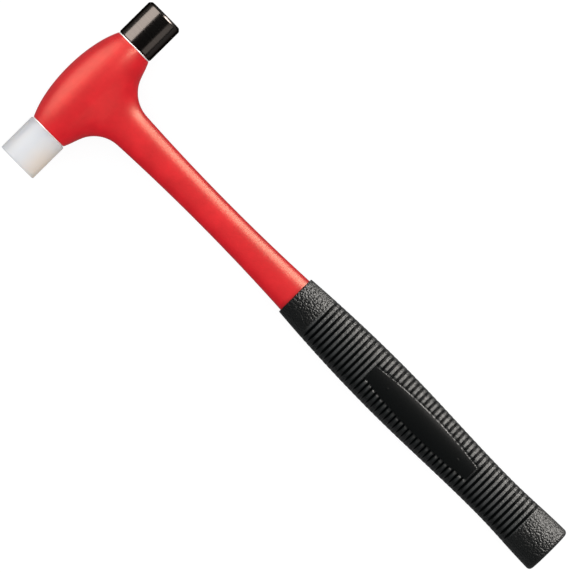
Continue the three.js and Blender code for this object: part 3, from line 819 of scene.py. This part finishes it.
anchor_end = WASHER_THICKNESS + MOULDED_LENGTH
anchor_pitch = MOULDED_LENGTH / (ANCHOR_COUNT + 1)
neck_radius = THREAD_RADIUS - THREAD_DEPTH - NECK_RELIEF
anchor_line = [
    (0, 0),
    (neck_radius, 0),
    (neck_radius, WASHER_THICKNESS),
    (THREAD_RADIUS, WASHER_THICKNESS),
]
for i in range(1, ANCHOR_COUNT + 1):
    low = WASHER_THICKNESS + i * anchor_pitch - ANCHOR_WIDTH / 2
    high = low + ANCHOR_WIDTH
    sunk = THREAD_RADIUS - ANCHOR_DEPTH
    anchor_line += [(THREAD_RADIUS, low), (sunk, low), (sunk, high), (THREAD_RADIUS, high)]
anchor_line += [(THREAD_RADIUS, anchor_end), (0, anchor_end)]
nylon_stud = turn("nylon_stud", anchor_line)
carve(nylon_stud, stud("nylon_stud_thread", WASHER_THICKNESS / 2), "UNION")
# The joined mesh is cut into even triangles, so that no thin ones fall on each other at its shoulder
bpy.ops.object.mode_set(mode="EDIT")
bpy.ops.mesh.select_all(action="SELECT")
bpy.ops.mesh.quads_convert_to_tris(quad_method="BEAUTY", ngon_method="BEAUTY")
bpy.ops.object.mode_set(mode="OBJECT")
seat(nylon_stud, -1)
lay_down(nylon_stud)
nylon_stud.data.materials.append(bright_steel)
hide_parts("nylon_face_stud")
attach(nylon_stud, "nylon_face")

# Nylon face: the soft striking face, injection moulded in translucent white nylon round the grooved
# end of its stud. It screws in against its washer, and the stud shows through it a little. Its side
# towards the handle is painted warmer, a painted warm reflection.
NYLON_RADIUS = 10.75 * MM
NYLON_LENGTH = 20.9 * MM
NYLON_EDGE = 0.4 * MM
# The warm colour is a painted warm reflection on the side towards the handle.
NYLON_COOL, NYLON_PAINTED_WARMTH = (0.69, 0.695, 0.71), (0.8, 0.69, 0.59)
NYLON_OVER_STUD = (0.62, 0.65, 0.68, 1)
PAINTED_WARMTH_FROM, STUD_SHOWS = 0.5, 0.7
NYLON_ROUGHNESS, NYLON_SPECULAR = (0.3, 0.42), 0.3
NYLON_GLOW, NYLON_GLOW_REACH = (1.0, 0.9, 0.8), 10 * MM
NYLON_RELIEF = 0.05 * MM

nylon_front = WASHER_THICKNESS + NYLON_LENGTH
nylon_face = turn(
    "nylon_striking_face",
    [
        (0, anchor_end + HOLE_GAP),
        (THREAD_RADIUS + HOLE_GAP, anchor_end + HOLE_GAP),
        (THREAD_RADIUS + HOLE_GAP, WASHER_THICKNESS),
        (NYLON_RADIUS, WASHER_THICKNESS),
        (NYLON_RADIUS, nylon_front),
        (0, nylon_front),
    ],
    NYLON_EDGE,
)
seat(nylon_face, -1)
lay_down(nylon_face)

white_nylon, nylon_shader = new_finish("white_nylon")
nylon_shader.inputs["Specular IOR Level"].default_value = NYLON_SPECULAR
nylon_shader.inputs["Subsurface Weight"].default_value = 1.0
nylon_shader.inputs["Subsurface Radius"].default_value = NYLON_GLOW
nylon_shader.inputs["Subsurface Scale"].default_value = NYLON_GLOW_REACH
nylon_place = add_node(white_nylon, "ShaderNodeTexCoord")
nylon_cloud = add_node(white_nylon, "ShaderNodeTexNoise", {"Scale": 120.0, "Detail": 3.0})
wire(white_nylon, nylon_place, nylon_cloud, "Vector", "Object")
nylon_centred = add_node(white_nylon, "ShaderNodeMapping", {"Location": -crossing})
wire(white_nylon, nylon_place, nylon_centred, "Vector", "Object")
nylon_parts = add_node(white_nylon, "ShaderNodeSeparateXYZ")
wire(white_nylon, nylon_centred, nylon_parts, "Vector")
across_face = add_node(
    white_nylon, "ShaderNodeMapRange", {"From Min": -NYLON_RADIUS, "From Max": NYLON_RADIUS}
)
wire(white_nylon, nylon_parts, across_face, "Value", "X")
# The side towards the handle is painted warm beige, a painted warm reflection.
painted_warm_side = shades(white_nylon, across_face, NYLON_COOL, NYLON_PAINTED_WARMTH, PAINTED_WARMTH_FROM)
near_stud = add_node(
    white_nylon,
    "ShaderNodeMapRange",
    {"From Min": -RIM_AT - anchor_end, "From Max": -RIM_AT - WASHER_THICKNESS, "To Max": STUD_SHOWS},
)
wire(white_nylon, nylon_parts, near_stud, "Value", "Y")
nylon_tint = add_node(white_nylon, "ShaderNodeMixRGB", {"Color2": NYLON_OVER_STUD})
wire(white_nylon, near_stud, nylon_tint, "Fac")
wire(white_nylon, painted_warm_side, nylon_tint, "Color1")
wire(white_nylon, nylon_tint, nylon_shader, "Base Color")
wire(white_nylon, spread(white_nylon, nylon_cloud, *NYLON_ROUGHNESS), nylon_shader, "Roughness")
relief(white_nylon, nylon_shader, nylon_cloud, NYLON_RELIEF)
nylon_face.data.materials.append(white_nylon)
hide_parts("nylon_face")
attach(nylon_face, "nylon_face")

# Camera: straight above the hammer, square to its handle, with the head at the upper left of the
# picture and the butt at the lower right. A long lens keeps the two ends nearly the same size.
CAMERA_HEIGHT = 3000 * MM
CAMERA_OVER = Vector((133.24 * MM, -0.57 * MM, CAMERA_HEIGHT))
HANDLE_IN_PICTURE = math.radians(45.3)
PICTURE_HEIGHT, PIXEL = 573, 0.4825 * MM

bpy.ops.object.camera_add()
camera = bpy.context.object
camera.name = "camera"
held_over = Matrix.Translation(CAMERA_OVER) @ Matrix.Rotation(HANDLE_IN_PICTURE, 4, "Z")
camera.matrix_world = lying @ held_over
camera.data.lens = camera.data.sensor_width * CAMERA_HEIGHT / (PICTURE_HEIGHT * PIXEL)
bpy.context.scene.camera = camera

# Table and light: a wide white table under a pale sky that dims to the horizon. Three soft boxes
# give the plain light, and four strips give only the gloss, each to the pieces that it is set for.
TABLE_SIZE = 20
TABLE_GREY, TABLE_GLOW, TABLE_GLOSS = (0.15, 0.15, 0.15, 1), 0.9, 0.08
SKY_COLOUR, LAMP_COLOUR = (0.95, 0.97, 1, 1), (1, 0.96, 0.91)
HORIZON_LIGHT, ZENITH_LIGHT, SKY_SEEN, SKY_GLOSS = 0.15, 1.12, 0.95, 0.01
# Each lamp's name, place and aim, its size and power in metres and watts, and what it is for
LAMPS = (
    ("head_box", (-1.08, 0, 0.58), (-0.149, 0, 0), (1.5, 0.6), 4.6, "plain light"),
    ("handle_box", (0.1, 0.92, 0.6), (0.1, 0, 0), (0.9, 0.4), 3.3, "plain light"),
    ("fill_box", (0.9, -0.1, 0.55), (-0.1, 0, 0), (0.8, 0.4), 3.2, "plain light"),
    ("head_strip", (-0.87, 0.065, 0.45), (-0.149, 0.065, 0), (1.37, 0.95), 19.6, "head gloss"),
    ("grip_strip", (0.185, 0.777, 0.346), (0.185, 0, 0), (0.63, 0.69), 28.5, "grip gloss"),
    ("shaft_strip", (-0.005, 0.76, 0.338), (-0.005, 0, 0), (0.17, 0.69), 13.5, "shaft gloss"),
    ("fill_strip", (0.75, 0.05, 0.43), (-0.149, 0.05, 0), (0.4, 0.6), 0.6, "head gloss"),
)

bpy.ops.object.select_all(action="DESELECT")
bpy.ops.mesh.primitive_plane_add(size=TABLE_SIZE)
table = bpy.context.object
table.name = "table"
table_white, table_shader = new_finish("table_white")
table_shader.inputs["Base Color"].default_value = TABLE_GREY
table_shader.inputs["Roughness"].default_value = 1.0
table_shader.inputs["Specular IOR Level"].default_value = 0.0
table_shader.inputs["Emission Color"].default_value = (1, 1, 1, 1)
seen = add_node(table_white, "ShaderNodeLightPath")
seen_through = add_node(table_white, "ShaderNodeMath", operation="MAXIMUM")
wire(table_white, seen, seen_through, 0, "Is Camera Ray")
wire(table_white, seen, seen_through, 1, "Is Transmission Ray")
mirrored = add_node(table_white, "ShaderNodeMapRange", {"To Max": TABLE_GLOSS})
wire(table_white, seen, mirrored, "Value", "Is Glossy Ray")
table_glow = add_node(table_white, "ShaderNodeMath", operation="MAXIMUM")
wire(table_white, spread(table_white, seen_through, 0, TABLE_GLOW), table_glow, 0)
wire(table_white, mirrored, table_glow, 1)
wire(table_white, table_glow, table_shader, "Emission Strength")
table.data.materials.append(table_white)

face_pieces = (tapped_core, steel_face, nylon_stud, nylon_face, *end_washers)
glossed_pieces = {
    "head gloss": (jacket, *face_pieces),
    "shaft gloss": (jacket,),
    "grip gloss": (grip, *face_pieces),
}
receivers = {}
for purpose, pieces in glossed_pieces.items():
    receivers[purpose] = bpy.data.collections.new(purpose)
    for piece in pieces:
        receivers[purpose].objects.link(piece)
for name, place, aim, size, power, purpose in LAMPS:
    bpy.ops.object.light_add(type="AREA", location=place)
    lamp = bpy.context.object
    lamp.name = name
    lamp.rotation_euler = (Vector(aim) - Vector(place)).to_track_quat("-Z", "Y").to_euler()
    lamp.data.shape = "RECTANGLE"
    lamp.data.size, lamp.data.size_y = size
    lamp.data.energy = power
    lamp.data.color = LAMP_COLOUR
    lamp.visible_diffuse = purpose not in receivers
    lamp.visible_glossy = purpose in receivers
    if purpose in receivers:
        lamp.light_linking.receiver_collection = receivers[purpose]

world = bpy.data.worlds.new("studio")
bpy.context.scene.world = world
world.use_nodes = True
sky = world.node_tree.nodes["Background"]
sky.inputs["Color"].default_value = SKY_COLOUR
sky_rays = add_node(world, "ShaderNodeLightPath")
sky_place = add_node(world, "ShaderNodeTexCoord")
sky_parts = add_node(world, "ShaderNodeSeparateXYZ")
wire(world, sky_place, sky_parts, "Vector", "Generated")
sky_height = add_node(world, "ShaderNodeMapRange", {"To Min": HORIZON_LIGHT, "To Max": ZENITH_LIGHT})
wire(world, sky_parts, sky_height, "Value", "Z")
sky_light = add_node(world, "ShaderNodeMapRange", {"To Max": SKY_SEEN})
wire(world, sky_height, sky_light, "To Min")
wire(world, sky_rays, sky_light, "Value", "Is Camera Ray")
sky_strength = add_node(world, "ShaderNodeMapRange", {"To Max": SKY_GLOSS})
wire(world, sky_light, sky_strength, "To Min")
wire(world, sky_rays, sky_strength, "Value", "Is Glossy Ray")
wire(world, sky_strength, sky, "Strength")
bpy.context.scene.view_settings.view_transform = "Standard"
